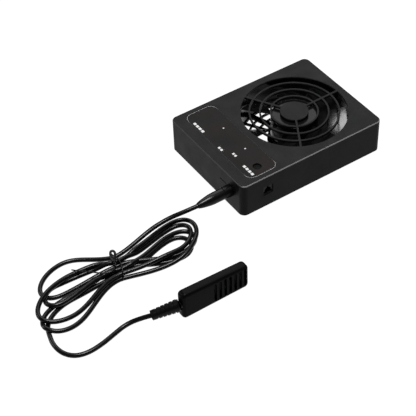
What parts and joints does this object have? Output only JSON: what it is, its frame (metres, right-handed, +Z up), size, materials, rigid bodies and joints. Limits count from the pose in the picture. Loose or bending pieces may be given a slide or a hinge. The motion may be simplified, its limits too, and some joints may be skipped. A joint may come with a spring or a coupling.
{
  "type": "boot dryer",
  "caption": "Flat fan box that blows drying air through a round grille, with a control panel and a corded louvred temperature and humidity probe on a tied hank of cord.",
  "frame": {"origin": "middle of the box at floor level, under its feet", "axes": "+X along the box towards the fan end, +Z up, +Y to the side away from the power jack"},
  "size_m": [0.3172, 0.1592, 0.032],
  "materials": {
    "case_black": "satin moulded ABS with a fine spark texture",
    "film_black": "satin printed polyester film",
    "smoked_lens": "polished smoked polycarbonate",
    "mark_grey": "screen-printed ink",
    "button_black": "moulded, slightly polished",
    "foot_rubber": "matt moulded rubber",
    "cord_pvc": "smooth soft PVC",
    "probe_black": "satin moulded ABS",
    "fan_plastic": "glass-filled PBT, satin",
    "steel": "zinc-plated or ground",
    "nickel": "nickel plated",
    "copper": "enamelled winding wire",
    "lamination": "stacked steel laminations",
    "magnet": "bonded ferrite",
    "board_green": "solder mask",
    "component_black": "moulded component bodies",
    "lead_red": "PVC insulated lead"
  },
  "bodies": {
    "case": {"top_housing": "case_black", "base_plate": "case_black", "rubber_feet": "foot_rubber", "case_screws": "steel", "panel_overlay": "film_black", "panel_marks": "mark_grey", "display_window": "smoked_lens", "display_module": "component_black", "button_switch": "component_black", "circuit_board": "board_green", "board_screws": "steel", "board_parts": "component_black", "power_jack": "component_black", "power_pin": "nickel", "sensor_jack": "component_black", "fan_frame": "fan_plastic", "fan_bearings": "steel", "fan_circuit_board": "board_green", "stator_core": "lamination", "stator_coils": "copper", "fan_screws": "steel", "fan_lead": "lead_red", "fan_connector": "component_black", "plug_body": "cord_pvc", "plug_tip": "nickel", "cord_lead": "cord_pvc", "cord_hank": "cord_pvc", "twist_tie": "cord_pvc", "cord_tail": "cord_pvc", "probe_front": "probe_black", "probe_back": "probe_black", "probe_board": "component_black", "sensor_element": "component_black", "strain_relief": "cord_pvc"},
    "fan_rotor": {"fan_impeller": "fan_plastic", "fan_shaft": "steel", "magnet_ring": "magnet", "shaft_clip": "steel"},
    "set_button": {"set_button": "button_black"}
  },
  "joints": [
    {"name": "fan_spin", "type": "hinge", "parent": "case", "child": "fan_rotor", "pos_m": [0.01825, 0, 0.02], "axis": [0, 0, 1], "continuous": true},
    {"name": "set_button_press", "type": "slide", "parent": "case", "child": "set_button", "axis": [0, 0, -1], "range_m": [0, 0.0005], "stiffness_N_per_m": 800}
  ]
}
